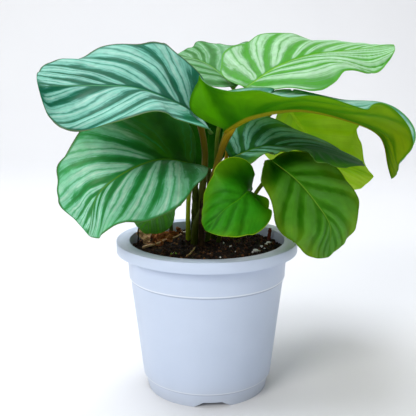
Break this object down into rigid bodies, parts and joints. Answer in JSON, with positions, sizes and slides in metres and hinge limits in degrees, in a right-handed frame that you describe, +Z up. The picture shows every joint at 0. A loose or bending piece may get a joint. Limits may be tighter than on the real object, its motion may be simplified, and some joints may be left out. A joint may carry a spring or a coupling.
{
  "type": "potted calathea",
  "caption": "Round-leaved calathea with pale-banded waved leaves on slender stalks, growing in a plain white plastic nursery pot.",
  "frame": {"origin": "middle of the pot's foot, on the surface that it stands on", "axes": "+Z up along the pot's axis; the picture looks along +Y, with +X to the right"},
  "size_m": [0.328, 0.2838, 0.3367],
  "materials": {
    "pot": "smooth moulded plastic, satin, faint moulding marks",
    "soil": "dark loose potting mix with fibres and crumbs",
    "leaf_silver": "waxy leaf, wide silver-green bands between dark green veins",
    "leaf_striped": "waxy leaf, pale green bands between dark green veins",
    "leaf_bright": "waxy leaf with light shining through, pale bands on fresh green",
    "leaf_underside": "matt underside of a leaf with light shining through",
    "leaf_backlit": "matt yellow-green leaf with light shining through",
    "leaf_dark": "waxy deep green leaf with darker veins",
    "leaf_green": "waxy deep green leaf",
    "stalk_green": "smooth olive stalk",
    "stalk_ripe": "smooth orange-brown stalk",
    "stalk_red": "dark reddish-brown stalk",
    "dry": "dry papery brown leaf and sheath",
    "tan": "dry pale stalk and splinter",
    "twig": "black dead twig",
    "perlite": "white porous mineral grain"
  },
  "bodies": {
    "root": {"pot": "pot", "soil": "soil", "leaf_silver_left": "leaf_silver", "stalk_silver_left": "stalk_red", "leaf_striped_low_left": "leaf_striped", "stalk_striped_low_left": "stalk_green", "leaf_small_back_left": "leaf_green", "stalk_small_back_left": "stalk_green", "leaf_top_back": "leaf_striped", "stalk_top_back": "stalk_green", "leaf_bright_top_right": "leaf_bright", "stalk_bright_top_right": "stalk_ripe", "leaf_large_right": "leaf_underside", "stalk_large_right": "stalk_ripe", "leaf_dark_right": "leaf_dark", "stalk_dark_right": "stalk_green", "leaf_round_front": "leaf_green", "stalk_round_front": "stalk_green", "leaf_low_right": "leaf_green", "stalk_low_right": "stalk_green", "leaf_backlit_right": "leaf_backlit", "stalk_backlit_right": "stalk_green", "leaf_small_behind": "leaf_green", "stalk_small_behind": "stalk_green", "dry_sheath": "dry", "cut_stub": "stalk_red", "twig": "twig", "dry_leaf": "dry", "tan_stalk": "tan", "splinter": "tan", "perlite_1": "perlite", "perlite_2": "perlite", "perlite_3": "perlite", "perlite_4": "perlite", "perlite_5": "perlite", "perlite_6": "perlite", "perlite_7": "perlite"}
  },
  "joints": []
}
